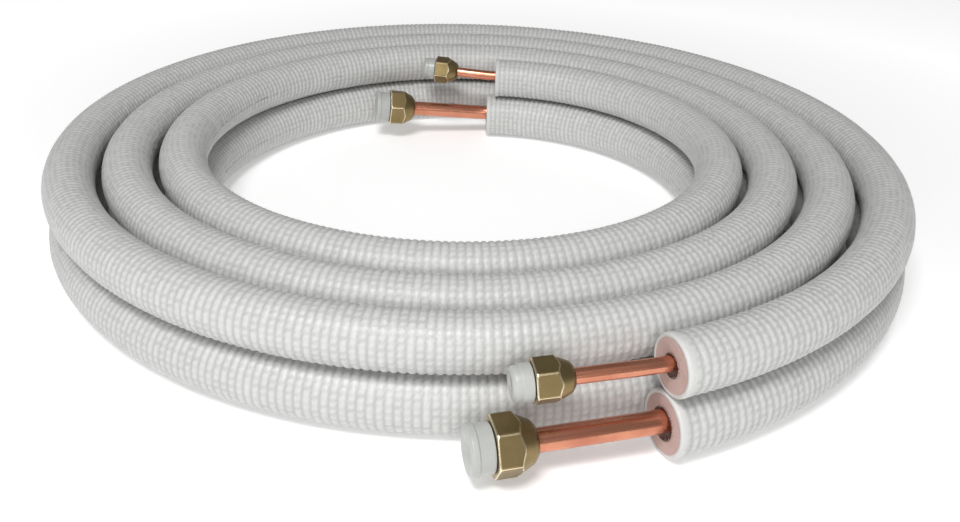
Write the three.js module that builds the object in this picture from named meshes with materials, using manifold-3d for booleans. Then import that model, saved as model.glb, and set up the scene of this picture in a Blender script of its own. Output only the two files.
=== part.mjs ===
// Mini split line set: two insulated soft copper refrigerant lines, coiled one on the other.
// The small line carries liquid and the large one gas. Each end has a flare nut and a plastic cap.
// Millimetres, +Z up. The origin is on the floor, under the middle of the whole set.

import * as THREE from 'three';
import { mergeVertices } from 'three/addons/utils/BufferGeometryUtils.js';
import Module from 'manifold-3d';

const wasm = await Module();
wasm.setup();

const { degToRad } = THREE.MathUtils;
const UP = new THREE.Vector3(0, 0, 1);

// Clearances
const seatGap = 0.3;          // between pieces that rest on, or hold, one another
const turnGap = 0.4;          // between neighbouring turns of the large line
const swivelGap = 0.4;        // round the tube, in the hole of a flare nut

// Coil, in plan. Angles run clockwise from the back of the coil, from the inner end outwards.
const innerRadius = 135.6;    // of the spiral at angle 0, before it is tucked in
const innerTuck = 8.4;        // how far the inner end is bent in towards the eye
const innerTuckSpan = 90;     // angle over which it runs out to the spiral
const outerEndAngle = 1236;   // where both sleeves end, at the front
const stepAngle = 11.25;      // between cross-sections, a whole number of them to a quarter turn

// Small liquid line, 1/4 inch
const liquidTubeOutside = 6.35;
const liquidSleeveOutside = 25.6;
const liquidSleeveBore = 9.7;
const liquidInnerEndAngle = 5;

// Large gas line, 3/8 inch
const gasTubeOutside = 9.52;
const gasSleeveOutside = 28;
const gasSleeveBore = 13.6;
const gasInnerEndAngle = 2.5;

const tubeWall = 0.8;
const flareAngle = 45;
const bendLength = 8;         // of the soft bend where a bare tube leaves its sleeve

// Flat-sided sections: each circle is drawn with this many sides
const sleeveSides = 12;
const tubeSides = 8;
const tubeBoreSides = 6;
const turnedSides = 16;

// The large line's turns lie side by side, and the small line follows the same spiral on top.
const turnPitch = gasSleeveOutside + turnGap;
const gasAxisHeight = gasSleeveOutside / 2;
const liquidAxisHeight = gasSleeveOutside + seatGap + liquidSleeveOutside / 2;

// A tail is the bare tube at one end of a line. turn is measured in plan, towards the coil's centre,
// rise is the tail's slope, and nutSpin is how far its nut happens to be turned.
const liquidLine = {
  name: 'liquid',
  tubeRadius: liquidTubeOutside / 2,
  flareRadius: 4.55,
  sleeveRadius: liquidSleeveOutside / 2,
  sleeveBoreRadius: liquidSleeveBore / 2,
  axisHeight: liquidAxisHeight,
  innerEndAngle: liquidInnerEndAngle,
  innerTail: { bare: 26.4, turn: -3, rise: 4, nutSpin: 23 },
  outerTail: { bare: 38, turn: 10, rise: -2, nutSpin: 16 },
  nut: {
    acrossFlats: 15.9,
    hexLength: 7.5,
    length: 15.5,
    shoulder: [[0.8, 0.14], [0.7, 0.2], [0.56, 0.7]],
    endRadius: 4.3,
    threadRadius: 5,
    threadDepth: 9,
  },
  cap: { flangeRadius: 6.7, flangeLength: 3.4, bodyRadius: 7, length: 8.2, rounding: 2.2 },
};

const gasLine = {
  name: 'gas',
  tubeRadius: gasTubeOutside / 2,
  flareRadius: 6.6,
  sleeveRadius: gasSleeveOutside / 2,
  sleeveBoreRadius: gasSleeveBore / 2,
  axisHeight: gasAxisHeight,
  innerEndAngle: gasInnerEndAngle,
  innerTail: { bare: 51.7, turn: 9.5, rise: 5.5, nutSpin: -8 },
  outerTail: { bare: 51.7, turn: 6.5, rise: 0, nutSpin: 26 },
  nut: {
    acrossFlats: 22,
    hexLength: 8.2,
    length: 17,
    shoulder: [[0.8, 0.14], [0.75, 0.2], [0.61, 0.7]],
    endRadius: 6.1,
    threadRadius: 7.3,
    threadDepth: 10,
  },
  cap: { flangeRadius: 10.4, flangeLength: 4.7, bodyRadius: 9.2, length: 9.4, rounding: 1.3 },
};

const foam = { color: 0xe6e6e1, roughness: 0.75, metalness: 0 };
const copper = { color: 0xb8704f, roughness: 0.3, metalness: 1 };
const brass = { color: 0xa3905a, roughness: 0.4, metalness: 1 };
const capPlastic = { color: 0xdfe2e2, roughness: 0.45, metalness: 0 };

function coilRadius(angle) {
  const tuck = innerTuck * Math.max(0, 1 - angle / innerTuckSpan) ** 2;
  return innerRadius + turnPitch * angle / 360 - tuck;
}

function coilPoint(angle, height) {
  const turned = degToRad(angle);
  const radius = coilRadius(angle);
  return new THREE.Vector3(radius * Math.sin(turned), radius * Math.cos(turned), height);
}

// The direction of travel along the coil, from the inner end to the outer one.
function coilDirection(angle) {
  const nudge = 0.01;
  return coilPoint(angle + nudge, 0).sub(coilPoint(angle - nudge, 0)).normalize();
}

// Angles of the coil's sections. Whole steps line the turns up with each other.
function coilAngles(startAngle) {
  const angles = [startAngle];
  const first = Math.floor(startAngle / stepAngle) + 1;
  for (let step = first; step * stepAngle < outerEndAngle; step += 1) {
    angles.push(step * stepAngle);
  }
  angles.push(outerEndAngle);
  return angles;
}

// A tail's direction: sense is -1 at the inner end and 1 at the outer one.
function tailDirection(angle, tail, sense, share = 1) {
  const direction = coilDirection(angle).multiplyScalar(sense);
  direction.applyAxisAngle(UP, degToRad(-sense * tail.turn * share));
  const slope = degToRad(tail.rise * share);
  return direction.multiplyScalar(Math.cos(slope)).addScaledVector(UP, Math.sin(slope));
}

// The bare tube's run: out of the sleeve, through its bend, and straight on to the nut.
function tailRun(start, angle, tail, sense) {
  const along = tailDirection(angle, tail, sense);
  const bend = start.clone().addScaledVector(tailDirection(angle, tail, sense, 0.5), bendLength);
  const nutBack = bend.clone().addScaledVector(along, tail.bare - bendLength);
  return { along, bend, nutBack };
}

// Sections along a path. Each one stands square to the path and is mitred where the path turns.
function sectionsAlong(points, radii) {
  return points.map((point, index) => {
    const before = points[Math.max(index - 1, 0)];
    const after = points[Math.min(index + 1, points.length - 1)];
    const incoming = point.clone().sub(index > 0 ? before : point).normalize();
    const outgoing = after.clone().sub(point).normalize();
    const facing = incoming.clone().add(outgoing).normalize();
    const side = new THREE.Vector3().crossVectors(UP, facing).normalize();
    const upright = new THREE.Vector3().crossVectors(facing, side);
    const leg = outgoing.lengthSq() > 0 ? outgoing : incoming;
    return { point, side: side.divideScalar(facing.dot(leg)), upright, ...radii[index] };
  });
}

// Corners of a circle's section, with a flat at the bottom. Flats, not corners, touch a round sleeve.
function ringCorners(sides) {
  const corners = [];
  for (let corner = 0; corner < sides; corner += 1) {
    const turned = 2 * Math.PI * (corner + 0.5) / sides - Math.PI / 2;
    corners.push(new THREE.Vector2(Math.cos(turned), Math.sin(turned)));
  }
  return corners;
}

// A closed pipe through the sections, with an outer ring and a bore.
function pipeGeometry(sections, outerSides, boreSides) {
  const outer = ringCorners(outerSides);
  const bore = ringCorners(boreSides);
  const ring = outerSides + boreSides;
  const positions = [];
  const faces = [];
  for (const section of sections) {
    const corners = [
      ...outer.map((corner) => corner.clone().multiplyScalar(section.outside)),
      ...bore.map((corner) => corner.clone().multiplyScalar(section.inside)),
    ];
    for (const corner of corners) {
      const place = section.point.clone();
      place.addScaledVector(section.side, corner.x).addScaledVector(section.upright, corner.y);
      positions.push(...place.toArray());
    }
  }
  for (let index = 0; index < sections.length - 1; index += 1) {
    const here = index * ring;
    const next = here + ring;
    for (let corner = 0; corner < outerSides; corner += 1) {
      const other = (corner + 1) % outerSides;
      faces.push(here + corner, next + other, next + corner);
      faces.push(here + corner, here + other, next + other);
    }
    for (let corner = 0; corner < boreSides; corner += 1) {
      const a = outerSides + corner;
      const b = outerSides + (corner + 1) % boreSides;
      faces.push(here + a, next + a, next + b);
      faces.push(here + a, next + b, here + b);
    }
  }
  const last = (sections.length - 1) * ring;
  const scaled = (corners, radius) => corners.map((corner) => corner.clone().multiplyScalar(radius));
  const endFaces = (section) => THREE.ShapeUtils.triangulateShape(
    scaled(outer, section.outside),
    [scaled(bore, section.inside)],
  );
  for (const [a, b, c] of endFaces(sections[0])) {
    faces.push(a, c, b);
  }
  for (const [a, b, c] of endFaces(sections.at(-1))) {
    faces.push(last + a, last + b, last + c);
  }
  const geometry = new THREE.BufferGeometry();
  geometry.setAttribute('position', new THREE.Float32BufferAttribute(positions, 3));
  geometry.setIndex(faces);
  return geometry;
}

// Turned about Y, from a profile of radius and height.
function turnedGeometry(profile) {
  const points = profile.map(([radius, height]) => new THREE.Vector2(radius, height));
  return new THREE.LatheGeometry(points, turnedSides);
}

function toSolid(geometry) {
  const bare = geometry.clone();
  bare.deleteAttribute('normal');
  bare.deleteAttribute('uv');
  const merged = mergeVertices(bare, 1e-5);
  const corners = merged.index.array;
  const triVerts = [];
  for (let index = 0; index < corners.length; index += 3) {
    const [a, b, c] = corners.slice(index, index + 3);
    if (a !== b && b !== c && c !== a) {
      triVerts.push(a, b, c);
    }
  }
  return new wasm.Manifold(new wasm.Mesh({
    numProp: 3,
    vertProperties: new Float32Array(merged.attributes.position.array),
    triVerts: new Uint32Array(triVerts),
  }));
}

function fromSolid(solid) {
  const mesh = solid.getMesh();
  const geometry = new THREE.BufferGeometry();
  geometry.setAttribute('position', new THREE.Float32BufferAttribute(mesh.vertProperties, 3));
  geometry.setIndex(Array.from(mesh.triVerts));
  return geometry;
}

// A flare nut, along +Y with its mouth at Y 0: a hexagon whose back is turned to a rounded shoulder.
// Inside are the thread's bore, the cone that pulls the flare home and the hole for the tube.
function nutGeometry(line) {
  const { nut, tubeRadius } = line;
  const cornerRadius = nut.acrossFlats / 2 / Math.cos(Math.PI / 6);
  const faceChamfer = 0.6;
  const shoulderLength = nut.length - nut.hexLength;
  const overrun = 1;
  const holeRadius = tubeRadius + swivelGap;
  const seatLength = (nut.threadRadius - holeRadius) / Math.tan(degToRad(flareAngle));
  const hexagon = new THREE.CylinderGeometry(cornerRadius, cornerRadius, nut.length, 6);
  hexagon.translate(0, -nut.length / 2, 0);
  const envelope = turnedGeometry([
    [0, -nut.length],
    [nut.endRadius, -nut.length],
    ...nut.shoulder.map(([radiusShare, lengthShare]) => [
      cornerRadius * radiusShare,
      -nut.hexLength - shoulderLength * lengthShare,
    ]).reverse(),
    [cornerRadius + faceChamfer, -nut.hexLength],
    [cornerRadius + faceChamfer, -2 * faceChamfer],
    [cornerRadius - faceChamfer, 0],
    [0, 0],
  ]);
  const cavity = turnedGeometry([
    [0, -nut.length - overrun],
    [holeRadius, -nut.length - overrun],
    [holeRadius, -nut.threadDepth - seatLength],
    [nut.threadRadius, -nut.threadDepth],
    [nut.threadRadius, overrun],
    [0, overrun],
  ]);
  return fromSolid(toSolid(hexagon).intersect(toSolid(envelope)).subtract(toSolid(cavity)));
}

// How deep below the nut's mouth the tube's flared end lies, just off its seat.
function flareDepth(line) {
  const { nut, flareRadius } = line;
  const slack = seatGap / Math.cos(degToRad(flareAngle));
  return nut.threadDepth + (nut.threadRadius - slack - flareRadius) / Math.tan(degToRad(flareAngle));
}

// A moulded cap, along +Y with the nut's mouth at Y 0. Its hollow stem fills the thread.
function capGeometry(line) {
  const { nut, cap } = line;
  const stemWall = 1.2;
  const stemRadius = nut.threadRadius - seatGap;
  const stemEnd = seatGap - flareDepth(line) + seatGap;
  const endWall = 1.5;
  return turnedGeometry([
    [0, endWall],
    [stemRadius - stemWall, endWall],
    [stemRadius - stemWall, stemEnd],
    [stemRadius, stemEnd],
    [stemRadius, seatGap],
    [cap.bodyRadius, seatGap],
    [cap.bodyRadius, cap.length - cap.flangeLength],
    [cap.flangeRadius, cap.length - cap.flangeLength],
    [cap.flangeRadius, cap.length - cap.rounding],
    [cap.flangeRadius - 0.3 * cap.rounding, cap.length - 0.3 * cap.rounding],
    [cap.flangeRadius - cap.rounding, cap.length],
    [0, cap.length],
  ]);
}

function namedMesh(name, geometry, finish) {
  const mesh = new THREE.Mesh(geometry, new THREE.MeshStandardMaterial(finish));
  mesh.name = name;
  return mesh;
}

function sleeveMesh(line) {
  const flatToCorner = 1 / Math.cos(Math.PI / sleeveSides);
  const points = coilAngles(line.innerEndAngle).map((angle) => coilPoint(angle, line.axisHeight));
  const radii = { outside: line.sleeveRadius * flatToCorner, inside: line.sleeveBoreRadius };
  const sections = sectionsAlong(points, points.map(() => radii));
  return namedMesh(`${line.name}_line_sleeve`, pipeGeometry(sections, sleeveSides, tubeSides), foam);
}

// The copper tube runs the whole way, against the top of the sleeve's bore, and is flared at both ends.
function tubePath(line) {
  const slack = (line.sleeveBoreRadius - line.tubeRadius) * Math.cos(Math.PI / tubeSides);
  const height = line.axisHeight + slack - seatGap;
  const angles = coilAngles(line.innerEndAngle);
  const coiled = angles.map((angle) => coilPoint(angle, height));
  const inner = tailRun(coiled[0], line.innerEndAngle, line.innerTail, -1);
  const outer = tailRun(coiled.at(-1), outerEndAngle, line.outerTail, 1);
  return { coiled, inner, outer };
}

function tubeMesh(line, path) {
  const { nut, tubeRadius, flareRadius } = line;
  const boreRadius = tubeRadius - tubeWall;
  const flareLength = (flareRadius - tubeRadius) / Math.tan(degToRad(flareAngle));
  const flareEnd = nut.length - flareDepth(line);
  const flared = { outside: flareRadius, inside: flareRadius - tubeWall };
  const plain = { outside: tubeRadius, inside: boreRadius };
  const beyond = (run, distance) => run.nutBack.clone().addScaledVector(run.along, distance);
  const points = [
    beyond(path.inner, flareEnd),
    beyond(path.inner, flareEnd - flareLength),
    path.inner.bend,
    ...path.coiled,
    path.outer.bend,
    beyond(path.outer, flareEnd - flareLength),
    beyond(path.outer, flareEnd),
  ];
  const radii = points.map((_, index) => (index === 0 || index === points.length - 1 ? flared : plain));
  const geometry = pipeGeometry(sectionsAlong(points, radii), tubeSides, tubeBoreSides);
  return namedMesh(`${line.name}_line_tube`, geometry, copper);
}

// A nut and its cap, set on the end of a tail with the mouth facing out.
function fittingAt(line, run, end) {
  const axis = new THREE.Vector3(0, 1, 0);
  const spin = degToRad(line[`${end}Tail`].nutSpin);
  const fitting = new THREE.Group();
  fitting.position.copy(run.nutBack).addScaledVector(run.along, line.nut.length);
  fitting.quaternion.setFromUnitVectors(axis, run.along);
  fitting.rotateOnAxis(axis, spin);
  fitting.add(namedMesh(`${line.name}_${end}_nut`, nutGeometry(line), brass));
  fitting.add(namedMesh(`${line.name}_${end}_cap`, capGeometry(line), capPlastic));
  return fitting;
}

const lineSet = new THREE.Group();
for (const line of [liquidLine, gasLine]) {
  const path = tubePath(line);
  lineSet.add(sleeveMesh(line));
  lineSet.add(tubeMesh(line, path));
  lineSet.add(fittingAt(line, path.inner, 'inner'));
  lineSet.add(fittingAt(line, path.outer, 'outer'));
}

const middle = new THREE.Box3().setFromObject(lineSet, true).getCenter(new THREE.Vector3());
lineSet.position.set(-middle.x, -middle.y, 0);

export default lineSet;
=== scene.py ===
"""Dresses the mini split line set: embossed foam sleeves, soft copper tubes, flare nuts and caps.

Every size is in millimetres, in the part's own frame, and is turned to metres where a mesh is made.
"""

import logging
import math
from dataclasses import dataclass, field
from enum import Enum
from typing import Any, Callable, Iterable, Sequence

import bpy
import numpy as np
from mathutils import Matrix, Quaternion, Vector


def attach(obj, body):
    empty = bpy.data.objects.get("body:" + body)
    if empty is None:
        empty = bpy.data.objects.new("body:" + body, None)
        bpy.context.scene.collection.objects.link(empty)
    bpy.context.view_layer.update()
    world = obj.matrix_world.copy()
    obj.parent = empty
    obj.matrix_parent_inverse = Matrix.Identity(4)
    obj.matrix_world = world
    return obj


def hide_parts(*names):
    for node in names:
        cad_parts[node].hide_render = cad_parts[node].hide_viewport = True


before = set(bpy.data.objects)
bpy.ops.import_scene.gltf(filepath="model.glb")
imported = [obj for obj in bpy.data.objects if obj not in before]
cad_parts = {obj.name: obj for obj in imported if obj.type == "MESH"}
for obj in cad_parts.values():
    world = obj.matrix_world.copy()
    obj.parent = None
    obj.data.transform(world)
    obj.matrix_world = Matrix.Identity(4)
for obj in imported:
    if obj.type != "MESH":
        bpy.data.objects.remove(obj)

LOG = logging.getLogger("line_set")
MM = 0.001
UP = np.array([0.0, 0.0, 1.0])
IMAGE_WIDTH = 960
Colour = tuple[float, float, float]


class End(Enum):
    """The two ends of a line, with the sense in which its tube leaves the coil there."""

    INNER = -1
    OUTER = 1


# Node building


def math_method(operation: str, reflected: bool = False) -> Callable[..., "Wire"]:
    """Makes a method of Wire that puts one Math node over the wire and any other value.

    Args:
        operation: The node's operation.
        reflected: True where the other value comes first.

    Returns:
        The method.
    """

    def method(wire: "Wire", *others: Any) -> "Wire":
        """Adds the node and gives its output."""
        values = (*others, wire) if reflected else (wire, *others)
        return wire.sheet.add("ShaderNodeMath", {"operation": operation}, dict(enumerate(values)))

    return method


class Wire:
    """An output socket that takes part in sums written as Python expressions."""

    def __init__(self, sheet: "NodeSheet", socket: bpy.types.NodeSocket) -> None:
        """Keeps the socket and the sheet that its further nodes go on."""
        self.sheet = sheet
        self.socket = socket

    __add__ = __radd__ = math_method("ADD")
    __sub__ = math_method("SUBTRACT")
    __rsub__ = math_method("SUBTRACT", True)
    __mul__ = __rmul__ = math_method("MULTIPLY")
    __truediv__ = math_method("DIVIDE")
    __gt__ = math_method("GREATER_THAN")
    rounded = math_method("ROUND")
    floored = math_method("FLOOR")
    cosine = math_method("COSINE")
    sine = math_method("SINE")
    at_least = math_method("MAXIMUM")
    at_most = math_method("MINIMUM")

    def clamped(self, low: float = 0.0, high: float = 1.0) -> "Wire":
        """This, held between low and high."""
        return self.at_least(low).at_most(high)


class NodeSheet:
    """Builds one node tree, of a material or of Geometry Nodes."""

    def __init__(self, tree: bpy.types.NodeTree) -> None:
        """Keeps the tree and empties it."""
        self.tree = tree
        tree.nodes.clear()

    def node(
        self,
        kind: str,
        settings: dict[str, Any] | None = None,
        inputs: dict[Any, Any] | None = None,
    ) -> bpy.types.Node:
        """Adds one node.

        Args:
            kind: The node's type.
            settings: Its settings, set first.
            inputs: Values or wires, by the socket's name or number.

        Returns:
            The new node.
        """
        made = self.tree.nodes.new(kind)
        for name, value in (settings or {}).items():
            setattr(made, name, value)
        for name, value in (inputs or {}).items():
            socket = made.inputs[name]
            if isinstance(value, Wire):
                self.tree.links.new(value.socket, socket)
            else:
                socket.default_value = value
        return made

    def add(
        self,
        kind: str,
        settings: dict[str, Any] | None = None,
        inputs: dict[Any, Any] | None = None,
        output: Any = 0,
    ) -> Wire:
        """Adds one node and gives the wire of its output. Args are as for node."""
        return Wire(self, self.node(kind, settings, inputs).outputs[output])

    def mix(self, factor: Any, first: Any, second: Any) -> Wire:
        """Blends two colours: first where factor is 0, second where it is 1."""
        made = self.tree.nodes.new("ShaderNodeMix")
        made.data_type = "RGBA"
        for socket, value in zip((made.inputs[0], made.inputs[6], made.inputs[7]), (factor, first, second)):
            if isinstance(value, Wire):
                self.tree.links.new(value.socket, socket)
            elif isinstance(value, tuple):
                socket.default_value = (*value, 1.0)
            else:
                socket.default_value = value
        return Wire(self, made.outputs[2])

    def vector(self, operation: str, *values: Any, output: str = "Vector") -> Wire:
        """Adds one Vector Math node over the values."""
        inputs = {index: value for index, value in enumerate(values) if operation != "SCALE" or index == 0}
        if operation == "SCALE":
            inputs["Scale"] = values[1]
        return self.add("ShaderNodeVectorMath", {"operation": operation}, inputs, output)


# Finishes


@dataclass(frozen=True)
class Finish:
    """A surface finish. Its subclasses paint what varies over the surface."""

    name: str
    colour: Colour
    roughness: float
    metallic: float = 0.0

    def material(self) -> bpy.types.Material:
        """Makes the material.

        Returns:
            The material, with its nodes.
        """
        made = bpy.data.materials.new(self.name)
        made.use_nodes = True
        sheet = NodeSheet(made.node_tree)
        shader = sheet.node("ShaderNodeBsdfPrincipled", None, {
            "Base Color": (*self.colour, 1.0),
            "Roughness": self.roughness,
            "Metallic": self.metallic,
        })
        self.paint(sheet, shader)
        sheet.node("ShaderNodeOutputMaterial", None, {"Surface": Wire(sheet, shader.outputs[0])})
        made.diffuse_color = (*self.colour, 1.0)
        return made

    def paint(self, sheet: NodeSheet, shader: bpy.types.Node) -> None:
        """Links what varies to the shader. The plain finish varies nothing."""

    @staticmethod
    def link(sheet: NodeSheet, shader: bpy.types.Node, socket: str, wire: Wire) -> None:
        """Links a wire to one of the shader's sockets."""
        sheet.tree.links.new(wire.socket, shader.inputs[socket])

    @staticmethod
    def noise(sheet: NodeSheet, place: Wire, scale: float, detail: float = 2.0) -> Wire:
        """Noise of 0 to 1 over a place, scale being in cells per unit."""
        return sheet.add("ShaderNodeTexNoise", None, {"Vector": place, "Scale": scale, "Detail": detail})

    @staticmethod
    def bump(sheet: NodeSheet, shader: bpy.types.Node, height: Wire, distance: float) -> None:
        """Feeds a height to the shader's Normal, distance being the relief in metres."""
        normal = sheet.add("ShaderNodeBump", None, {"Height": height, "Distance": distance})
        Finish.link(sheet, shader, "Normal", normal)

    @staticmethod
    def place(sheet: NodeSheet) -> Wire:
        """Place in the part's own frame, in metres."""
        return sheet.add("ShaderNodeTexCoord", None, None, "Object")

    @staticmethod
    def lay(sheet: NodeSheet) -> Wire:
        """Place on a swept surface: millimetres along it and round it."""
        return sheet.add("ShaderNodeAttribute", {"attribute_name": "lay"}, None, "Vector")

    @staticmethod
    def weight(sheet: NodeSheet, name: str) -> Wire:
        """One of the piece's own 0 to 1 weights."""
        return sheet.add("ShaderNodeAttribute", {"attribute_name": name}, None, "Fac")


@dataclass(frozen=True)
class SkinFinish(Finish):
    """The sleeve's white embossed skin: paler on its grains, and greyed in its grooves by painted shade."""

    # Groove colour: painted shade, mixed in where the pattern is pressed deep.
    groove: Colour = (0.28, 0.28, 0.285)
    groove_shade_share: float = 0.75
    drift_scale: float = 22.0
    drift_share: float = 0.35
    drift_tone: float = 0.93
    speck_scale: float = 900.0
    speck_share: float = 0.3
    wrinkle_scale: float = 320.0
    wrinkle_height: float = 0.00016

    def paint(self, sheet: NodeSheet, shader: bpy.types.Node) -> None:
        """Paints shade into the grooves, a slow drift of tone, and the film's fine wrinkles."""
        place = self.place(sheet)
        depth = self.weight(sheet, "relief")
        drift = self.noise(sheet, place, self.drift_scale)
        specks = self.noise(sheet, place, self.speck_scale, 3.0)
        dim = tuple(self.drift_tone * value for value in self.colour)
        tone = sheet.mix(drift * self.drift_share, self.colour, dim)
        # Painted shade: the groove colour goes in as deep as the pattern is pressed, with random specks a
        # little lighter and darker.
        shade = (depth * self.groove_shade_share + (specks - 0.5) * self.speck_share).clamped()
        self.link(sheet, shader, "Base Color", sheet.mix(shade, tone, self.groove))
        self.link(sheet, shader, "Roughness", (self.roughness + (specks - 0.5) * 0.25).clamped(0.2, 0.9))
        wrinkles = self.noise(sheet, place, self.wrinkle_scale)
        self.bump(sheet, shader, specks + wrinkles * 1.5, self.wrinkle_height)


@dataclass(frozen=True)
class FoamFinish(Finish):
    """The cut face and the bore of the foam: fine closed cells."""

    shadow: Colour = (0.38, 0.25, 0.22)
    cell_scale: float = 1500.0
    blotch_scale: float = 150.0

    def paint(self, sheet: NodeSheet, shader: bpy.types.Node) -> None:
        """Paints the cut cells and the uneven tone of the cut."""
        place = self.place(sheet)
        grid = {"Vector": place, "Scale": self.cell_scale}
        cells = sheet.add("ShaderNodeTexVoronoi", None, grid, "Distance")
        blotches = self.noise(sheet, place, self.blotch_scale, 3.0)
        shade = ((1 - cells) * 0.25 + (blotches - 0.35) * 0.6).clamped()
        self.link(sheet, shader, "Base Color", sheet.mix(shade, self.colour, self.shadow))
        self.bump(sheet, shader, cells * 0.6 + blotches, 0.0002)


@dataclass(frozen=True)
class CopperFinish(Finish):
    """Soft-drawn copper: bright, streaked along its length, and a little stained."""

    stain: Colour = (0.38, 0.12, 0.07)
    stain_scale: float = 60.0
    streak_stretch: tuple[float, float, float] = (0.03, 2.2, 1.0)

    def paint(self, sheet: NodeSheet, shader: bpy.types.Node) -> None:
        """Paints the drawing streaks and the stains."""
        lay = self.lay(sheet)
        place = self.place(sheet)
        streaks = self.noise(sheet, sheet.vector("MULTIPLY", lay, self.streak_stretch), 1.0, 3.0)
        stains = self.noise(sheet, place, self.stain_scale, 3.0)
        shade = ((stains - 0.42) * 1.6 + (streaks - 0.5) * 0.25).clamped()
        self.link(sheet, shader, "Base Color", sheet.mix(shade, self.colour, self.stain))
        rough = self.roughness + (streaks - 0.5) * 0.12 + shade * 0.14
        self.link(sheet, shader, "Roughness", rough.clamped(0.12, 0.7))
        self.bump(sheet, shader, streaks, 0.00002)


@dataclass(frozen=True)
class BrassFinish(Finish):
    """Pressed and turned brass, dull on its flats and bright along its edges, rubbed there and painted
    paler as a highlight.
    """

    # Pale edge colour: rubbed brass, painted paler still as a highlight.
    edge_rub_and_highlight: Colour = (0.90, 0.78, 0.55)
    dull: Colour = (0.17, 0.13, 0.06)
    film_scale: float = 110.0
    grain_scale: float = 1400.0

    def paint(self, sheet: NodeSheet, shader: bpy.types.Node) -> None:
        """Paints the dull film, the rubbed edges with their painted highlight, and the fine tool marks."""
        place = self.place(sheet)
        film = self.noise(sheet, place, self.film_scale, 4.0)
        grain = self.noise(sheet, place, self.grain_scale)
        edge = self.weight(sheet, "edge")
        body = sheet.mix(((film - 0.4) * 1.7).clamped(), self.colour, self.dull)
        # Rubbed edges with a painted highlight: pale on the edges and corners, less so where the film lies.
        edge_rub_and_highlight_share = (edge * 1.7 - (film * 0.8)).clamped()
        self.link(sheet, shader, "Base Color", sheet.mix(edge_rub_and_highlight_share, body, self.edge_rub_and_highlight))
        rough = self.roughness + (film - 0.5) * 0.2 - edge_rub_and_highlight_share * 0.15
        self.link(sheet, shader, "Roughness", rough.clamped(0.15, 0.8))
        self.bump(sheet, shader, grain * 0.5 + film, 0.00007)


@dataclass(frozen=True)
class FloorFinish(Finish):
    """The studio floor: matte white, with a glow that keeps it white away from the part."""

    near: Colour = (0.24, 0.24, 0.24)
    far: Colour = (0.5, 0.5, 0.5)
    near_radius: float = 0.26
    fade: float = 0.3

    def paint(self, sheet: NodeSheet, shader: bpy.types.Node) -> None:
        """Paints the glow, which grows with the distance from the part."""
        place = self.place(sheet)
        reach = sheet.vector("LENGTH", place, output="Value")
        glow = sheet.mix(((reach - self.near_radius) / self.fade).clamped(), self.near, self.far)
        self.link(sheet, shader, "Emission Color", glow)
        shader.inputs["Emission Strength"].default_value = 1.0


@dataclass(frozen=True)
class CapFinish(Finish):
    """Moulded cap plastic: milky, smooth, with a faint flow pattern."""

    milky: Colour = (0.50, 0.51, 0.49)

    def paint(self, sheet: NodeSheet, shader: bpy.types.Node) -> None:
        """Paints the milky flow and the slight orange peel."""
        place = self.place(sheet)
        flow = self.noise(sheet, place, 90.0, 3.0)
        self.link(sheet, shader, "Base Color", sheet.mix(flow, self.colour, self.milky))
        self.link(sheet, shader, "Roughness", self.roughness + (flow - 0.5) * 0.12)
        self.bump(sheet, shader, self.noise(sheet, place, 500.0), 0.00004)
        shader.inputs["Subsurface Weight"].default_value = 0.25
        shader.inputs["Subsurface Radius"].default_value = (1.0, 1.0, 1.0)
        shader.inputs["Subsurface Scale"].default_value = 0.002


SKIN = SkinFinish("sleeve_skin", (0.63, 0.63, 0.615), 0.42)
FOAM = FoamFinish("sleeve_foam_cut", (0.57, 0.42, 0.385), 0.85)
COPPER = CopperFinish("drawn_copper", (0.68, 0.29, 0.185), 0.25, 1.0)
BRASS = BrassFinish("flare_nut_brass", (0.29, 0.215, 0.10), 0.38, 1.0)
CAP_PLASTIC = CapFinish("cap_plastic", (0.40, 0.41, 0.39), 0.32)


# Mesh helpers


def shown(name: str, data: Any) -> bpy.types.Object:
    """Puts a new object that holds the data in the scene."""
    made = bpy.data.objects.new(name, data)
    bpy.context.scene.collection.objects.link(made)
    return made


def store(mesh: bpy.types.Mesh, name: str, values: np.ndarray) -> None:
    """Stores a number, or a vector, for each of a mesh's points."""
    kind, key = ("FLOAT_VECTOR", "vector") if values.ndim == 2 else ("FLOAT", "value")
    mesh.attributes.new(name, kind, "POINT").data.foreach_set(key, values.ravel())


def mesh_object(
    name: str,
    points: np.ndarray,
    faces: Sequence[Sequence[int]],
    materials: Iterable[bpy.types.Material] = (),
) -> bpy.types.Object:
    """Makes a mesh object at the origin.

    Args:
        name: The piece's name.
        points: Its corners, in millimetres.
        faces: Its faces, as corner numbers that turn left when seen from outside.
        materials: Its materials.

    Returns:
        The object, in the scene.
    """
    mesh = bpy.data.meshes.new(name)
    mesh.from_pydata((np.asarray(points) * MM).tolist(), [], faces)
    mesh.update()
    for material in materials:
        mesh.materials.append(material)
    return shown(name, mesh)


def signed_volume(mesh: bpy.types.Mesh) -> float:
    """A closed mesh's volume, which is negative where its faces point inwards."""
    mesh.calc_loop_triangles()
    corners = np.zeros(len(mesh.loop_triangles) * 3, np.int32)
    mesh.loop_triangles.foreach_get("vertices", corners)
    points = np.zeros(len(mesh.vertices) * 3, np.float32)
    mesh.vertices.foreach_get("co", points)
    tri = points.reshape(-1, 3).astype(float)[corners].reshape(-1, 3, 3)
    return float(np.einsum("ij,ij->i", tri[:, 0], np.cross(tri[:, 1], tri[:, 2])).sum() / 6)


def report(piece: bpy.types.Object) -> None:
    """Logs a piece's name, triangles and volume."""
    volume = signed_volume(piece.data) * 1e6
    LOG.info("%s: %d triangles, %.2f cm3", piece.name, len(piece.data.loop_triangles), volume)


# Coil and tails


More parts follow.
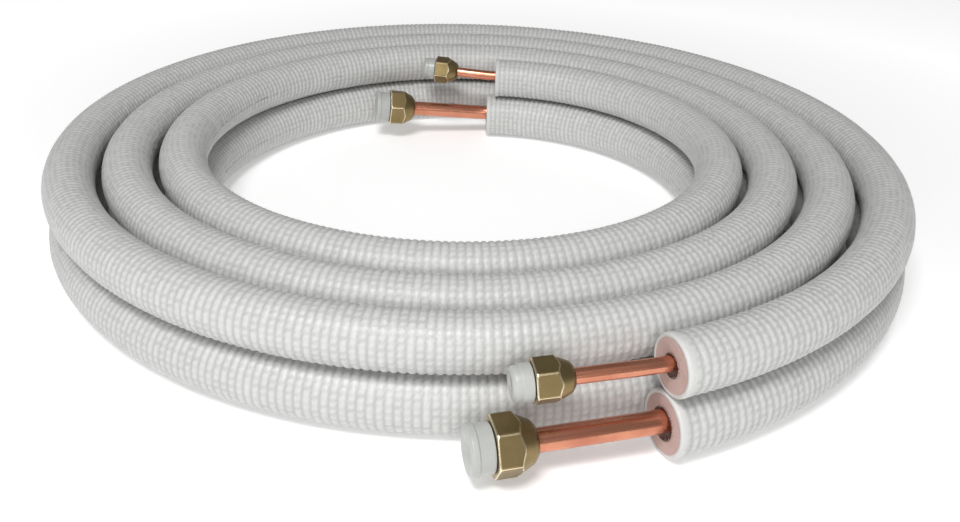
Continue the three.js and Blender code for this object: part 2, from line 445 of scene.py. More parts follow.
@dataclass(frozen=True)
class Coil:
    """The spiral that both lines follow. Angles run clockwise from the back, outwards."""

    inner_radius: float = 135.6
    turn_pitch: float = 28.4
    inner_tuck: float = 8.4
    inner_tuck_span: float = 90.0
    outer_end_angle: float = 1236.0
    centre: tuple[float, float] = (-7.1002, 6.4310)

    def points(self, angles: np.ndarray, height: float) -> np.ndarray:
        """Points of the spiral at the angles, in degrees, at a height."""
        angles = np.asarray(angles, float)
        tuck = self.inner_tuck * np.maximum(0.0, 1 - angles / self.inner_tuck_span) ** 2
        radius = self.inner_radius + self.turn_pitch * angles / 360 - tuck
        turned = np.radians(angles)
        x = self.centre[0] + radius * np.sin(turned)
        y = self.centre[1] + radius * np.cos(turned)
        return np.stack([x, y, np.full_like(x, height)], axis=-1)

    def directions(self, angles: np.ndarray) -> np.ndarray:
        """Directions of travel outwards along the spiral."""
        nudge = 0.01
        angles = np.asarray(angles, float)
        return unit(self.points(angles + nudge, 0.0) - self.points(angles - nudge, 0.0))

    def even_angles(self, start: float, spacing: float) -> np.ndarray:
        """Angles from start to the outer end whose points are one spacing apart, about."""
        fine = np.linspace(start, self.outer_end_angle, 20001)
        steps = np.linalg.norm(np.diff(self.points(fine, 0.0), axis=0), axis=1)
        travel = np.concatenate([[0.0], np.cumsum(steps)])
        count = max(1, round(travel[-1] / spacing))
        return np.interp(np.linspace(0.0, travel[-1], count + 1), travel, fine)


def with_lips(values: np.ndarray, cut: tuple[bool, bool], share: float = 0.02) -> np.ndarray:
    """The stations' values, with one more station just inside each end that isn't cut.

    The short step there keeps the smooth shading of the skin true up to the seam.
    """
    if not cut[0]:
        values = np.insert(values, 1, values[0] + (values[1] - values[0]) * share)
    if not cut[1]:
        values = np.insert(values, -1, values[-1] + (values[-2] - values[-1]) * share)
    return values


def unit(vectors: np.ndarray) -> np.ndarray:
    """The vectors, each made one long."""
    return vectors / np.linalg.norm(vectors, axis=-1, keepdims=True)


def turned_about_up(vector: np.ndarray, degrees: float) -> np.ndarray:
    """A vector turned about the upright axis."""
    c, s = math.cos(math.radians(degrees)), math.sin(math.radians(degrees))
    return np.array([c * vector[0] - s * vector[1], s * vector[0] + c * vector[1], vector[2]])


@dataclass(frozen=True)
class Tail:
    """The bare tube at one end of a line, and how far its nut happens to be turned."""

    bare: float
    turn: float
    rise: float
    nut_spin: float
    bend_length: float = 8.0

    def direction(self, coil: Coil, angle: float, end: End, share: float = 1.0) -> np.ndarray:
        """The tail's direction, after a share of its bend."""
        away = turned_about_up(coil.directions(np.array(angle)) * end.value, -end.value * self.turn * share)
        slope = math.radians(self.rise * share)
        return away * math.cos(slope) + UP * math.sin(slope)

    def nut_back(self, coil: Coil, angle: float, end: End, start: np.ndarray) -> np.ndarray:
        """Where the nut's back end stands on the tube's axis."""
        bend = start + self.direction(coil, angle, end, 0.5) * self.bend_length
        return bend + self.direction(coil, angle, end) * (self.bare - self.bend_length)


# Swept pieces


@dataclass
class Stations:
    """Cross-sections of a swept piece, in order, on a path that closes on itself."""

    places: list[np.ndarray] = field(default_factory=list)
    outward: list[np.ndarray] = field(default_factory=list)
    upright: list[np.ndarray] = field(default_factory=list)
    girth: list[float] = field(default_factory=list)
    travel: list[float] = field(default_factory=list)
    emboss: list[float] = field(default_factory=list)
    inside: list[float] = field(default_factory=list)

    def extend(
        self,
        places: np.ndarray,
        facing: np.ndarray,
        girth: Any,
        travel: Any,
        emboss: Any = 0.0,
        inside: float = 0.0,
    ) -> None:
        """Adds cross-sections.

        Args:
            places: Their middles, in millimetres.
            facing: The path's directions there.
            girth: Their radius or radii.
            travel: How far along the piece they are, in millimetres.
            emboss: 1 where the skin's pattern is pressed in, 0 where it is plain.
            inside: 1 on the foam's cut face and bore.
        """
        side = unit(np.cross(facing, UP))
        count = len(places)
        self.places.extend(places)
        self.outward.extend(side)
        self.upright.extend(np.cross(side, facing))
        self.girth.extend(np.broadcast_to(girth, count))
        self.travel.extend(np.broadcast_to(travel, count))
        self.emboss.extend(np.broadcast_to(emboss, count))
        self.inside.extend([inside] * count)

    def spine(self, name: str) -> bpy.types.Object:
        """A chain of points that carries the cross-sections, for the sweep to read."""
        count = len(self.places)
        chain = [(index, index + 1) for index in range(count - 1)]
        mesh = bpy.data.meshes.new(name)
        mesh.from_pydata((np.array(self.places) * MM).tolist(), chain, [])
        scales = {"outward": 1.0, "upright": 1.0, "girth": MM, "travel": 1.0, "emboss": 1.0, "inside": 1.0}
        for key, scale in scales.items():
            store(mesh, key, np.array(getattr(self, key), np.float32) * scale)
        return shown(name, mesh)


class SweepTree(NodeSheet):
    """Geometry Nodes that draw a skin over a spine's cross-sections and emboss it."""

    SOCKETS = (
        ("Sides", "NodeSocketInt"),
        ("Ring Pitch", "NodeSocketFloat"),
        ("Ring Depth", "NodeSocketFloat"),
        ("Grain Depth", "NodeSocketFloat"),
        ("Unevenness", "NodeSocketFloat"),
        ("Skin", "NodeSocketMaterial"),
        ("Inside", "NodeSocketMaterial"),
    )
    SEED = 4
    CELLS_APART = 97
    GRAIN_SPREAD = (0.3, 1.7)
    LUMP_SCALE = 28.0
    SEAM_METRES = 2e-6

    def __init__(self) -> None:
        """Builds the tree."""
        super().__init__(bpy.data.node_groups.new("sweep", "GeometryNodeTree"))
        face = self.tree.interface
        face.new_socket("Spine", in_out="INPUT", socket_type="NodeSocketGeometry")
        for name, kind in self.SOCKETS:
            face.new_socket(name, in_out="INPUT", socket_type=kind)
        face.new_socket("Piece", in_out="OUTPUT", socket_type="NodeSocketGeometry")
        self.given = self.node("NodeGroupInput")
        self.spine = self.from_input("Spine")
        self.sides = self.from_input("Sides")
        spine = {"Geometry": self.spine}
        count = self.add("GeometryNodeAttributeDomainSize", {"component": "MESH"}, spine, "Point Count")
        grid = self.node("GeometryNodeMeshGrid", None, {
            "Size X": 1.0, "Size Y": 1.0, "Vertices X": count, "Vertices Y": self.sides + 1,
        })
        split = self.node("ShaderNodeSeparateXYZ", None, {"Vector": Wire(self, grid.outputs["UV Map"])})
        self.station = (Wire(self, split.outputs["X"]) * (count - 1)).rounded()
        self.corner = (Wire(self, split.outputs["Y"]) * self.sides).rounded()
        travel = self.carried("travel")
        relief = self.relief(travel)
        placed = self.placed(Wire(self, grid.outputs["Mesh"]), relief)
        self.finished(self.marked(placed, travel, relief))

    def from_input(self, name: str) -> Wire:
        """The wire of one of the tree's inputs."""
        return Wire(self, self.given.outputs[name])

    def named(self, name: str, kind: str = "FLOAT") -> Wire:
        """The attribute of a name."""
        return self.add("GeometryNodeInputNamedAttribute", {"data_type": kind}, {"Name": name}, "Attribute")

    def carried(self, name: str, kind: str = "FLOAT") -> Wire:
        """What the spine carries under a name, at the point's station."""
        return self.sampled(self.named(name, kind), kind)

    def sampled(self, value: Wire, kind: str) -> Wire:
        """A value of the spine's point at the point's station."""
        return self.add(
            "GeometryNodeSampleIndex",
            {"data_type": kind, "domain": "POINT"},
            {"Geometry": self.spine, "Value": value, "Index": self.station},
            "Value",
        )

    def relief(self, travel: Wire) -> Wire:
        """How deep the pattern is pressed in, in metres."""
        ring = (travel / self.from_input("Ring Pitch") * math.tau).cosine().at_least(0.0)
        grain = (self.corner * math.pi).cosine().at_least(0.0)
        cell = (travel / self.from_input("Ring Pitch")).floored() * self.CELLS_APART + self.corner
        least, most = self.GRAIN_SPREAD
        spread = {2: least, 3: most, "ID": cell, "Seed": self.SEED}
        chance = self.add("FunctionNodeRandomValue", {"data_type": "FLOAT"}, spread, 1)
        grains = grain * (1 - ring) * self.from_input("Grain Depth") * chance
        pressed = ring * self.from_input("Ring Depth") + grains
        return pressed * self.carried("emboss")

    def placed(self, mesh: Wire, relief: Wire) -> Wire:
        """Moves the grid's points to the cross-sections."""
        turned = self.corner / self.sides * math.tau
        middle = self.sampled(self.add("GeometryNodeInputPosition"), "FLOAT_VECTOR")
        outward = self.carried("outward", "FLOAT_VECTOR")
        upright = self.carried("upright", "FLOAT_VECTOR")
        arm = self.vector(
            "ADD",
            self.vector("SCALE", outward, turned.cosine()),
            self.vector("SCALE", upright, turned.sine()),
        )
        girth = self.carried("girth")
        skin = self.vector("ADD", middle, self.vector("SCALE", arm, girth))
        spread = {"Vector": skin, "Scale": self.LUMP_SCALE, "Detail": 1.0}
        lumps = self.add("ShaderNodeTexNoise", None, spread)
        sunk = relief + lumps * self.from_input("Unevenness") * self.carried("emboss")
        place = self.vector("ADD", middle, self.vector("SCALE", arm, girth - sunk))
        return self.add("GeometryNodeSetPosition", None, {"Geometry": mesh, "Position": place})

    def marked(self, mesh: Wire, travel: Wire, relief: Wire) -> Wire:
        """Stores what the materials read: the lay of the surface and how deep it is pressed."""
        sideways = self.carried("girth") * self.corner / self.sides * (math.tau / MM)
        lay = self.add("ShaderNodeCombineXYZ", None, {"X": travel, "Y": sideways})
        deepest = (self.from_input("Ring Depth") + self.from_input("Grain Depth")).at_least(1e-6)
        stored = {
            "lay": ("FLOAT2", "CORNER", lay),
            # The relief weight is what the skin's painted groove shade reads.
            "relief": ("FLOAT", "POINT", relief / deepest),
            "inside": ("FLOAT", "POINT", self.carried("inside")),
        }
        for name, (kind, domain, value) in stored.items():
            mesh = self.add(
                "GeometryNodeStoreNamedAttribute",
                {"data_type": kind, "domain": domain},
                {"Geometry": mesh, "Name": name, "Value": value},
            )
        return mesh

    def finished(self, mesh: Wire) -> None:
        """Closes the seams, smooths and gives the materials."""
        merge = {"Geometry": mesh, "Distance": self.SEAM_METRES}
        closed = self.add("GeometryNodeMergeByDistance", None, merge)
        smooth = self.add("GeometryNodeSetShadeSmooth", None, {"Geometry": closed, "Shade Smooth": True})
        solid = self.add("GeometryNodeRealizeInstances", None, {"Geometry": smooth})
        coat = {"Geometry": solid, "Material": self.from_input("Skin")}
        skin = self.add("GeometryNodeSetMaterial", None, coat)
        cut = self.named("inside") > 0.4
        core = {"Geometry": skin, "Material": self.from_input("Inside"), "Selection": cut}
        both = self.add("GeometryNodeSetMaterial", None, core)
        self.node("NodeGroupOutput", None, {"Piece": both})

    def sweep(self, name: str, stations: Stations, values: dict[str, Any]) -> bpy.types.Object:
        """Sweeps one piece.

        Args:
            name: The piece's name.
            stations: Its cross-sections.
            values: The tree's inputs, by name.

        Returns:
            The finished piece, as a plain mesh.
        """
        spine = stations.spine(name + "_spine")
        modifier = spine.modifiers.new("sweep", "NODES")
        modifier.node_group = self.tree
        for item in self.tree.interface.items_tree:
            if item.in_out == "INPUT" and item.name in values:
                modifier[item.identifier] = values[item.name]
        graph = bpy.context.evaluated_depsgraph_get()
        mesh = bpy.data.meshes.new_from_object(spine.evaluated_get(graph), depsgraph=graph)
        mesh.name = name
        if signed_volume(mesh) < 0:
            mesh.flip_normals()
        spine.modifiers.clear()
        bpy.data.objects.remove(spine)
        return shown(name, mesh)


# Fittings


@dataclass(frozen=True)
class Seat:
    """Where a fitting stands: its mouth, its axis out of the mouth, and its spin."""

    mouth: np.ndarray
    axis: np.ndarray
    spin: float

    def place(self, points: np.ndarray) -> np.ndarray:
        """Carries points from the fitting's own frame, +Y out of its mouth, to the part's."""
        swing = Vector((0.0, 1.0, 0.0)).rotation_difference(Vector(self.axis))
        turn = swing @ Quaternion((0.0, 1.0, 0.0), math.radians(self.spin))
        return points @ np.array(turn.to_matrix()).T + self.mouth


def around(rings: np.ndarray, name: str, material: bpy.types.Material) -> bpy.types.Object:
    """Makes a closed piece from rings of points, in order, the last one joined to the first.

    Args:
        rings: Points in an array of rings by corners by three, in millimetres.
        name: The piece's name.
        material: Its material.

    Returns:
        The piece, its faces outwards.
    """
    count, sides = rings.shape[:2]
    faces = []
    for ring in range(count):
        here, there = ring * sides, (ring + 1) % count * sides
        for corner in range(sides):
            other = (corner + 1) % sides
            faces.append((here + corner, here + other, there + other, there + corner))
    piece = mesh_object(name, rings.reshape(-1, 3), faces, [material])
    if signed_volume(piece.data) < 0:
        piece.data.flip_normals()
    piece.data.shade_smooth()
    return piece


@dataclass(frozen=True)
class FlareNut:
    """A hexagonal flare nut with a long rounded shoulder and a threaded mouth."""

    across_flats: float
    hex_length: float
    length: float
    shoulder: tuple[tuple[float, float], ...]
    end_radius: float
    thread_radius: float
    thread_depth: float
    thread_pitch: float
    hole_radius: float
    face_chamfer: float = 0.6
    edge_round: float = 0.45
    sides: int = 144

    def hex_radius(self, turned: np.ndarray) -> np.ndarray:
        """The hexagon's radius at each angle, its corners slightly rounded."""
        apothem = self.across_flats / 2
        off = (turned + math.pi / 6) % (math.pi / 3) - math.pi / 6
        sharp = apothem / np.cos(math.pi / 6 - np.abs(off))
        near_corner = (1 - np.abs(off) / (math.pi / 6)) ** 8
        return np.minimum(sharp, self.corner_radius - self.edge_round * near_corner)

    @property
    def corner_radius(self) -> float:
        """From the axis to the hexagon's corner."""
        return self.across_flats / 2 / math.cos(math.pi / 6)

    def shoulder_profile(self) -> tuple[np.ndarray, np.ndarray]:
        """The turned shoulder's depths below the mouth and its radii, from the hexagon to the back."""
        span = self.length - self.hex_length
        share = np.array([0.0, *(s for _, s in self.shoulder), 1.0])
        radii = np.array([
            self.corner_radius + self.face_chamfer,
            *(self.corner_radius * r for r, _ in self.shoulder),
            self.end_radius,
        ])
        fine = np.linspace(0.0, 1.0, 29)
        return self.hex_length + span * fine, np.interp(fine, share, radii)

    def build(self, name: str, seat: Seat, material: bpy.types.Material) -> bpy.types.Object:
        """Builds the nut on its seat."""
        turned = np.arange(self.sides) / self.sides * math.tau
        hexagon = self.hex_radius(turned)
        depth, radius = self.shoulder_profile()
        chamfer_top = self.corner_radius - self.face_chamfer
        chamfer_slope = 2.0
        rings: list[tuple[np.ndarray, np.ndarray, float]] = []

        def ring(radii: Any, depths: Any, edge: float = 0.0) -> None:
            """Adds one ring of points."""
            size = hexagon.shape
            rings.append((np.broadcast_to(radii, size), np.broadcast_to(depths, size), edge))

        face_edge = np.minimum(chamfer_top, hexagon)
        side_top = np.maximum(0.0, hexagon - chamfer_top) / chamfer_slope + 0.02
        side_end = np.interp(-hexagon, -radius, depth)
        ring(self.thread_radius + 0.9, 0.0, 0.35)
        ring(face_edge - 0.35, 0.0, 0.5)
        ring(face_edge - 0.06, 0.05, 1.0)
        ring(hexagon, side_top + 0.12, 1.0)
        ring(hexagon, side_top + 0.8, 0.1)
        for share in (0.25, 0.5, 0.75):
            ring(hexagon, side_top + (side_end - side_top) * share)
        ring(hexagon, side_end - 0.5, 0.1)
        ring(hexagon, side_end, 0.7)
        for step in range(1, 13):
            along = side_end + (self.length - side_end) * step / 12
            ring(np.interp(along, depth, radius), along, 0.15 if step < 2 else 0.0)
        ring(self.end_radius - 0.4, self.length, 0.4)
        ring(self.hole_radius, self.length - 0.15)
        seat_depth = self.thread_depth + self.thread_radius - self.hole_radius
        ring(self.hole_radius, seat_depth)
        ring(self.thread_radius, self.thread_depth)
        groove = 0.43 * self.thread_pitch
        steps_per_turn = 6
        turns = (self.thread_depth - 1.4) / self.thread_pitch
        for step in range(int(turns * steps_per_turn), -1, -1):
            base = 1.0 + step * self.thread_pitch / steps_per_turn
            phase = (step / steps_per_turn + turned / math.tau) % 1.0
            ring(self.thread_radius + groove * (1 - np.abs(2 * phase - 1)), base)
        ring(self.thread_radius + groove, 0.45)
        heights = np.stack([-depths for _, depths, _ in rings])
        spread = np.stack([radii for radii, _, _ in rings])
        points = np.stack([spread * np.sin(turned), heights, spread * np.cos(turned)], axis=-1)
        piece = around(seat.place(points), name, material)
        # The edge weights mark where the brass is painted pale: rubbed edges and painted highlight.
        corner = (np.abs((turned + math.pi / 6) % (math.pi / 3) - math.pi / 6) < 0.03).astype(float)
        outside = np.array([1.0 if 3 <= index <= 9 else 0.0 for index in range(len(rings))])
        along = np.array([edge for _, _, edge in rings])[:, None]
        weights = np.maximum(along, outside[:, None] * corner * 0.9)
        store(piece.data, "edge", weights.astype(np.float32).ravel())
        return piece


@dataclass(frozen=True)
class MouldedCap:
    """A push-in plastic cap: a hollow stem in the thread, a body and a flanged end."""

    flange_radius: float
    flange_length: float
    body_radius: float
    length: float
    rounding: float
    stem_radius: float
    stem_depth: float
    stem_wall: float = 1.2
    end_wall: float = 1.5
    seat_gap: float = 0.3
    sides: int = 64

    def build(self, name: str, seat: Seat, material: bpy.types.Material) -> bpy.types.Object:
        """Builds the cap on its nut's seat."""
        body_end = self.length - self.flange_length
        step = 0.25
        hollow = self.stem_radius - self.stem_wall
        profile = [
            (0.02, self.end_wall), (hollow - 0.3, self.end_wall), (hollow, self.end_wall - 0.3),
            (hollow, -self.stem_depth + 0.1), (hollow + 0.2, -self.stem_depth),
            (self.stem_radius - 0.3, -self.stem_depth), (self.stem_radius, -self.stem_depth + 0.5),
            (self.stem_radius, self.seat_gap), (self.body_radius - step, self.seat_gap),
            (self.body_radius, self.seat_gap + step), (self.body_radius, self.seat_gap + 2 * step),
            (self.body_radius, body_end - 2 * step), (self.body_radius, body_end - step / 2),
        ]
        if self.flange_radius > self.body_radius:
            profile += [(self.body_radius + 0.1, body_end), (self.flange_radius - step, body_end)]
        else:
            profile += [(self.body_radius - 0.15, body_end), (self.flange_radius + 0.05, body_end + 0.05)]
        profile += [(self.flange_radius, body_end + step), (self.flange_radius, body_end + 2 * step)]
        for turned in np.linspace(0.0, math.pi / 2, 9):
            profile.append((
                self.flange_radius - self.rounding * (1 - math.cos(turned)),
                self.length - self.rounding * (1 - math.sin(turned)),
            ))
        dimple = 0.35
        flat = self.flange_radius - self.rounding
        sunk = self.length - dimple
        profile += [(flat * 0.85, self.length), (flat * 0.72, sunk), (0.02, sunk)]
        radii, heights = np.array(profile).T
        turned = np.arange(self.sides) / self.sides * math.tau
        points = np.stack([
            radii[:, None] * np.sin(turned),
            np.broadcast_to(heights[:, None], (len(radii), self.sides)),
            radii[:, None] * np.cos(turned),
        ], axis=-1)
        return around(seat.place(points), name, material)


# One line


@dataclass(frozen=True)
class InsulatedLine:
    """One copper tube in its foam sleeve, with a nut and a cap on each bare end."""

    name: str
    tube_radius: float
    flare_radius: float
    sleeve_radius: float
    bore_radius: float
    axis_height: float
    inner_end_angle: float
    inner_tail: Tail
    outer_tail: Tail
    nut: FlareNut
    cap: MouldedCap
    grains_round: int
    coil: Coil = Coil()
    tube_wall: float = 0.8
    seat_gap: float = 0.3
    cad_bore_sides: int = 8
    ring_pitch: float = 3.45
    stations_per_ring: int = 3
    skin_thickness: float = 1.8
    plain_rim: float = 2.6
    ring_depth: float = 0.6
    grain_depth: float = 0.28
    unevenness: float = 0.3
    rings_per_bore_step: int = 6
    tube_sides: int = 24
    tube_spacing: float = 9.0

    @property
    def tube_height(self) -> float:
        """Height of the tube's axis, up against the top of the bore."""
        slack = (self.bore_radius - self.tube_radius) * math.cos(math.pi / self.cad_bore_sides)
        return self.axis_height + slack - self.seat_gap

    @property
    def flare_depth(self) -> float:
        """How deep below the nut's mouth the tube's flared end lies."""
        slack = self.seat_gap * math.sqrt(2)
        return self.nut.thread_depth + self.nut.thread_radius - slack - self.flare_radius

    def end_angle(self, end: End) -> float:
        """The coil's angle at one end of the sleeve."""
        return self.inner_end_angle if end is End.INNER else self.coil.outer_end_angle

    def tail(self, end: End) -> Tail:
        """The tail at one end."""
        return self.inner_tail if end is End.INNER else self.outer_tail

    def seat(self, end: End) -> Seat:
        """Where the fitting at one end stands."""
        angle, tail = self.end_angle(end), self.tail(end)
        start = self.coil.points(np.array([angle]), self.tube_height)[0]
        axis = tail.direction(self.coil, angle, end)
        mouth = tail.nut_back(self.coil, angle, end, start) + axis * self.nut.length
        return Seat(mouth, axis, tail.nut_spin)

    def sleeve_run(self, angles: np.ndarray, travel: np.ndarray, cut: tuple[bool, bool]) -> Stations:
        """Cross-sections of one run of the sleeve.

        Args:
            angles: Angles of the skin's stations.
            travel: Their distances along the sleeve.
            cut: Whether the run's first and last faces are the sleeve's own ends.

        Returns:
            The closed path over the skin, the last face, the bore and the first face.
        """
        made = Stations()
        angles, travel = (with_lips(values, cut) for values in (angles, travel))
        places = self.coil.points(angles, self.axis_height)
        facing = self.coil.directions(angles)
        skin = slice(1 if cut[0] else 0, -1 if cut[1] else None)
        pressed = np.ones(len(angles))
        for is_cut, cut_travel in zip(cut, (travel[0], travel[-1])):
            if is_cut:
                pressed *= np.clip(np.abs(travel - cut_travel) - self.plain_rim, 0.0, 1.0)
        made.extend(places[skin], facing[skin], self.sleeve_radius, travel[skin], pressed[skin])
        if cut[1]:
            self.end_face(made, places[-1], facing[-1], travel[-1], 1.0)
        bore = np.arange(len(angles) - 1, -1, -self.rings_per_bore_step * self.stations_per_ring)
        bore = np.append(bore, 0) if bore[-1] else bore
        made.extend(places[bore], facing[bore], self.bore_radius, travel[bore], inside=1.0)
        if cut[0]:
            self.end_face(made, places[0], facing[0], travel[0], -1.0)
        first = slice(skin.start, skin.start + 1)
        made.extend(places[first], facing[first], self.sleeve_radius, travel[first], pressed[first])
        return made

    def end_face(
        self, made: Stations, place: np.ndarray, facing: np.ndarray, travel: float, sense: float
    ) -> None:
        """Adds the rings of a cut end: the skin's edge, the foam and the mouth of the bore."""
        radius, bore = self.sleeve_radius, self.bore_radius
        foam = radius - self.skin_thickness
        # Each ring's radius, how far it lies behind the cut, and whether it is foam.
        rings = [
            (radius - 0.12, 0.6, 0.0), (radius - 0.32, 0.25, 0.0), (radius - 0.65, 0.06, 0.0),
            (radius - 1.1, 0.0, 0.0), (foam + 0.35, 0.04, 0.0), (foam + 0.08, 0.14, 0.0),
            (foam - 0.1, 0.26, 1.0), (foam - 0.5, 0.2, 1.0),
        ]
        rings += [(foam + (bore - foam) * share, 0.12, 1.0) for share in (0.3, 0.6, 0.85)]
        rings += [(bore + 0.3, 0.2, 1.0), (bore + 0.05, 0.6, 1.0)]
        ordered = rings if sense > 0 else rings[::-1]
        for girth, below, inside in ordered:
            made.extend(
                (place - facing * below * sense)[None], facing[None], girth, travel, inside=inside
            )

    def build_sleeve(self, tree: SweepTree, skin: bpy.types.Material, foam: bpy.types.Material) -> None:
        """Builds the sleeve in two runs, which meet in a groove of the skin."""
        spacing = self.ring_pitch / self.stations_per_ring
        angles = self.coil.even_angles(self.inner_end_angle, spacing)
        travel = np.arange(len(angles)) * spacing
        middle = len(angles) // 2 // self.stations_per_ring * self.stations_per_ring
        runs = {
            "inner": (slice(0, middle + 1), (True, False)),
            "outer": (slice(middle, None), (False, True)),
        }
        for run, (span, cut) in runs.items():
            stations = self.sleeve_run(angles[span], travel[span], cut)
            piece = tree.sweep(f"{self.name}_sleeve_{run}_run", stations, {
                "Sides": 2 * self.grains_round,
                "Ring Pitch": self.ring_pitch,
                "Ring Depth": self.ring_depth * MM,
                "Grain Depth": self.grain_depth * MM,
                "Unevenness": self.unevenness * MM,
                "Skin": skin,
                "Inside": foam,
            })
            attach(piece, "line_set")
            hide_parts(f"{self.name}_line_sleeve")
            report(piece)

    def tail_points(self, end: End) -> tuple[np.ndarray, np.ndarray]:
        """The bare tube's points and directions from the sleeve's end to the flare's root."""
        angle, tail = self.end_angle(end), self.tail(end)
        start = self.coil.points(np.array([angle]), self.tube_height)[0]
        flare_root = self.nut.length - self.flare_depth - (self.flare_radius - self.tube_radius)
        seat = self.seat(end)
        finish = seat.mouth + seat.axis * (flare_root - self.nut.length)
        bend = start + tail.direction(self.coil, angle, end, 0.5) * tail.bend_length
        share = np.linspace(0.0, 1.0, 13)[1:, None]
        first = self.coil.directions(np.array(angle)) * end.value
        reach = tail.bend_length * 0.55
        far = bend + seat.axis * tail.bend_length
        a, b, c, d = start, start + first * reach, far - seat.axis * reach, far
        curve = (1 - share) ** 3 * a + 3 * (1 - share) ** 2 * share * b + 3 * (1 - share) * share ** 2 * c
        curve = curve + share ** 3 * d
        straight = far + (finish - far) * np.linspace(0.0, 1.0, 7)[1:, None]
        points = np.concatenate([curve, straight])
        steps = np.diff(np.concatenate([[start], points, [finish + seat.axis]]), axis=0)
        return points, unit(unit(steps[:-1]) + unit(steps[1:]))

    def build_tube(self, tree: SweepTree, copper: bpy.types.Material) -> None:
        """Builds the copper tube from flare to flare, with its bore."""
        angles = self.coil.even_angles(self.inner_end_angle, self.tube_spacing)
        coiled = self.coil.points(angles, self.tube_height)
        inner, inner_facing = self.tail_points(End.INNER)
        outer, outer_facing = self.tail_points(End.OUTER)
        places = np.concatenate([inner[::-1], coiled, outer])
        facing = np.concatenate([-inner_facing[::-1], self.coil.directions(angles), outer_facing])
        flare = self.flare_radius - self.tube_radius
        ends = (places[0] - facing[0] * flare, places[-1] + facing[-1] * flare)
        places = np.concatenate([[ends[0]], places, [ends[1]]])
        facing = np.concatenate([facing[:1], facing, facing[-1:]])
        travel = np.concatenate([[0.0], np.cumsum(np.linalg.norm(np.diff(places, axis=0), axis=1))])
        outside = np.full(len(places), self.tube_radius)
        outside[[0, -1]] = self.flare_radius
        made = Stations()
        made.extend(places, facing, outside, travel)
        made.extend(places[::-1], facing[::-1], outside - self.tube_wall, travel[::-1])
        made.extend(places[:1], facing[:1], outside[:1], travel[:1])
        piece = tree.sweep(f"{self.name}_tube", made, {
            "Sides": self.tube_sides, "Ring Pitch": 1.0, "Skin": copper, "Inside": copper,
        })
        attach(piece, "line_set")
        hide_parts(f"{self.name}_line_tube")
        report(piece)

    def build_fittings(self, brass: bpy.types.Material, plastic: bpy.types.Material) -> None:
        """Builds the nut and the cap at each end."""
        for end in End:
            place = f"{self.name}_{end.name.lower()}"
            seat = self.seat(end)
            nut = self.nut.build(f"{place}_flare_nut", seat, brass)
            cap = self.cap.build(f"{place}_moulded_cap", seat, plastic)
            fitted = (nut, f"{place}_nut", "nut_brass"), (cap, f"{place}_cap", "cap_plastic")
            for piece, node, slot in fitted:
                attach(piece, f"{place}_fitting")
                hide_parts(node)
                report(piece)


LIQUID = InsulatedLine(
    name="liquid",
    tube_radius=3.175,
    flare_radius=4.55,
    sleeve_radius=12.8,
    bore_radius=4.85,
    axis_height=41.1,
    inner_end_angle=5.0,
    inner_tail=Tail(26.4, -3.0, 4.0, 23.0),
    outer_tail=Tail(38.0, 10.0, -2.0, 16.0),
    nut=FlareNut(15.9, 8.0, 15.5, ((0.9, 0.12), (0.8, 0.42), (0.65, 0.82)), 4.3, 5.0, 9.0, 1.27, 3.575),
    cap=MouldedCap(6.8, 3.4, 7.2, 8.2, 2.0, 4.7, 8.2),
    grains_round=26,
)
GAS = InsulatedLine(
    name="gas",
    tube_radius=4.76,
    flare_radius=6.6,
    sleeve_radius=14.0,
    bore_radius=6.8,
    axis_height=14.0,
    inner_end_angle=2.5,
    inner_tail=Tail(51.7, 9.5, 5.5, -8.0),
    outer_tail=Tail(51.7, 6.5, 0.0, 26.0),
    nut=FlareNut(22.0, 8.2, 17.0, ((0.9, 0.12), (0.79, 0.42), (0.66, 0.8)), 6.1, 7.3, 10.0, 1.41, 5.16),
    cap=MouldedCap(10.25, 3.0, 9.7, 9.4, 1.1, 7.0, 9.6),
    grains_round=27,
)


# Studio


@dataclass(frozen=True)
class SoftLight:
    """A rectangular soft light, aimed at a point."""

    name: str
    place: tuple[float, float, float]
    aim: tuple[float, float, float]
    size: tuple[float, float]
    power: float

    def build(self) -> None:
        """Hangs the light."""
        data = bpy.data.lights.new(self.name, "AREA")
        data.shape = "RECTANGLE"
        data.size, data.size_y = self.size
        data.energy = self.power
        made = shown(self.name, data)
        made.location = self.place
        away = Vector(self.place) - Vector(self.aim)
        made.rotation_euler = away.to_track_quat("Z", "Y").to_euler()


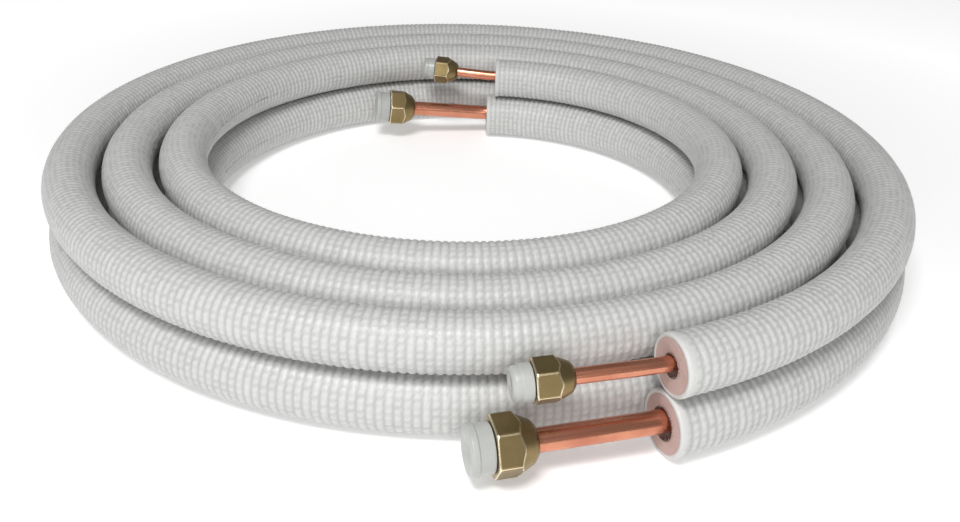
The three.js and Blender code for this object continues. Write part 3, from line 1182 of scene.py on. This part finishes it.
@dataclass(frozen=True)
class Studio:
    """A plain white floor, soft light, and the camera where the picture was taken from."""

    focal_pixels: float = 935.3
    place: tuple[float, float, float] = (0.0308, -0.4981, 0.2396)
    pitch: float = 28.52
    yaw: float = -3.03
    roll: float = 1.79
    floor_half: float = 6.0
    floor_drop: float = 0.05
    backdrop: float = 0.25
    lights: tuple[SoftLight, ...] = (
        SoftLight("key", (-0.15, -0.75, 1.15), (0.0, -0.1, 0.0), (0.5, 0.35), 12.0),
        SoftLight("fill", (0.1, -1.4, 0.55), (0.05, -0.2, 0.0), (0.9, 0.4), 4.5),
    )

    def build(self) -> None:
        """Sets up the floor, the lights and the camera."""
        self.build_floor()
        for light in self.lights:
            light.build()
        world = bpy.data.worlds.new("studio")
        world.use_nodes = True
        backdrop = world.node_tree.nodes["Background"]
        backdrop.inputs["Color"].default_value = (1.0, 1.0, 1.0, 1.0)
        backdrop.inputs["Strength"].default_value = self.backdrop
        bpy.context.scene.world = world
        bpy.context.scene.view_settings.view_transform = "Standard"
        self.build_camera()

    def build_floor(self) -> None:
        """Lays the floor."""
        half = self.floor_half / MM
        corners = np.array([(-half, -half, 0.0), (half, -half, 0.0), (half, half, 0.0), (-half, half, 0.0)])
        white = FloorFinish("floor_white", (0.93, 0.93, 0.93), 0.9).material()
        floor = mesh_object("floor", corners - UP * self.floor_drop, [(0, 1, 2, 3)], [white])

    def build_camera(self) -> None:
        """Sets up the camera."""
        data = bpy.data.cameras.new("camera")
        data.sensor_width = 36.0
        data.lens = data.sensor_width * self.focal_pixels / IMAGE_WIDTH
        data.clip_start, data.clip_end = 0.01, 50.0
        camera = shown("camera", data)
        e, y, r = (math.radians(angle) for angle in (self.pitch, self.yaw, self.roll))
        ahead = Vector((math.sin(y) * math.cos(e), math.cos(y) * math.cos(e), -math.sin(e)))
        level = Vector((math.cos(y), -math.sin(y), 0.0))
        over = level.cross(ahead)
        right = level * math.cos(r) + over * math.sin(r)
        above = over * math.cos(r) - level * math.sin(r)
        turn = Matrix((right, above, -ahead)).transposed().to_4x4()
        camera.matrix_world = Matrix.Translation(Vector(self.place)) @ turn
        bpy.context.scene.camera = camera


def main() -> None:
    """Builds the studio and the line set."""
    logging.basicConfig(level=logging.INFO, format="%(name)s: %(message)s")
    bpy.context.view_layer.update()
    Studio().build()
    tree = SweepTree()
    skin, foam = SKIN.material(), FOAM.material()
    copper, brass, plastic = COPPER.material(), BRASS.material(), CAP_PLASTIC.material()
    for line in (LIQUID, GAS):
        line.build_sleeve(tree, skin, foam)
        line.build_tube(tree, copper)
        line.build_fittings(brass, plastic)


if __name__ == "__main__":
    main()
